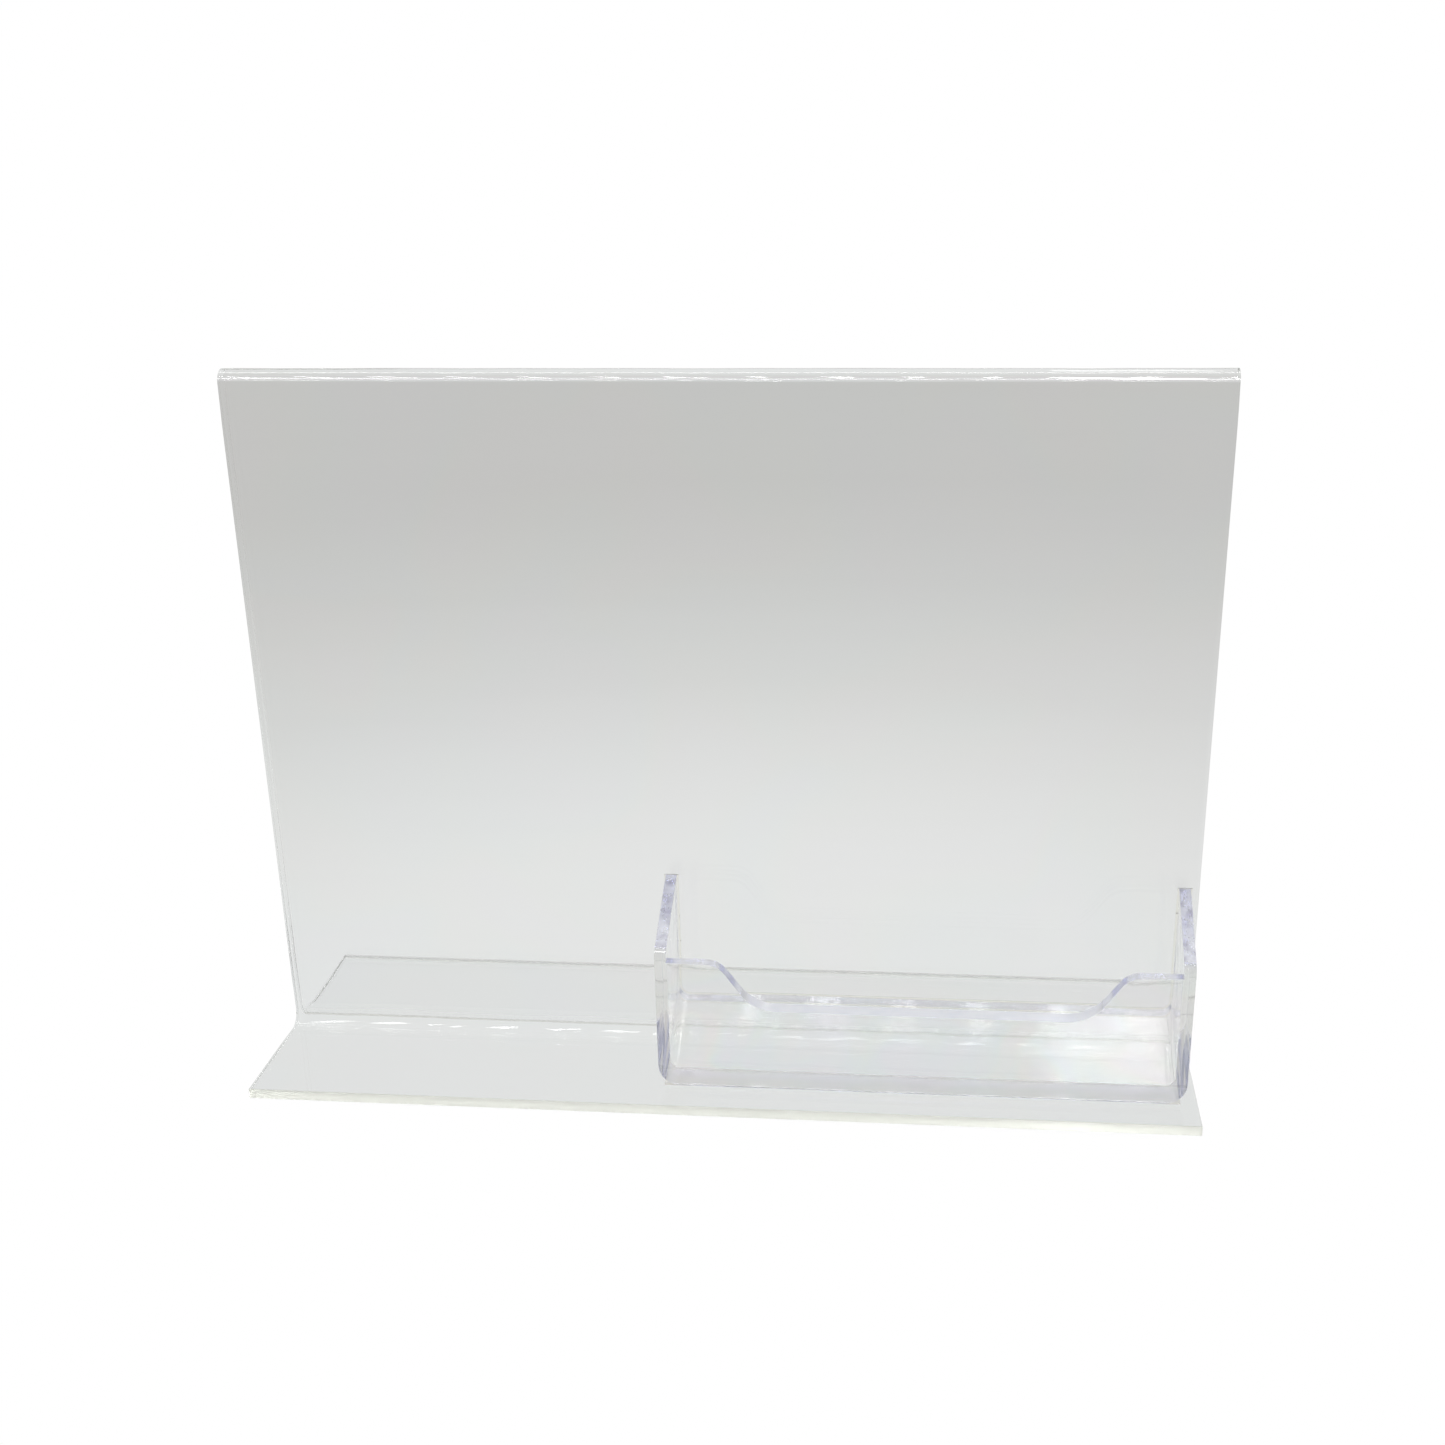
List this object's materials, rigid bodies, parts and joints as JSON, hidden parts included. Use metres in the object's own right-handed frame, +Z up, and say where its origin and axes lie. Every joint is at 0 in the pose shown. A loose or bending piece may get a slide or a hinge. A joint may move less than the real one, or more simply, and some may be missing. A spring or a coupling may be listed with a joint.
{
  "type": "tabletop sign holder",
  "caption": "Clear acrylic tabletop sign holder shaped like an upside-down T, slotted for a landscape card, with a moulded business card pocket on its front right.",
  "frame": {"origin": "on the table, under the middle of the sign panel", "axes": "+X along the sign's width towards the card pocket's end, +Y from the pocket's side to the rear, +Z up"},
  "size_m": [0.1778, 0.06, 0.1315],
  "materials": {
    "clear_acrylic": "clear cast acrylic with polished faces and paler, slightly matt sawn edges",
    "clear_polystyrene": "clear moulded polystyrene with a faint violet tint at its edges",
    "dried_cement": "dried solvent cement, clear to faintly yellow"
  },
  "bodies": {
    "root": {"sign_holder_sheet": "clear_acrylic", "card_pocket": "clear_polystyrene", "cement_seam_floor": "dried_cement", "cement_seam_left": "dried_cement", "cement_seam_right": "dried_cement", "cement_drop_left": "dried_cement", "cement_drop_right": "dried_cement"}
  },
  "joints": []
}
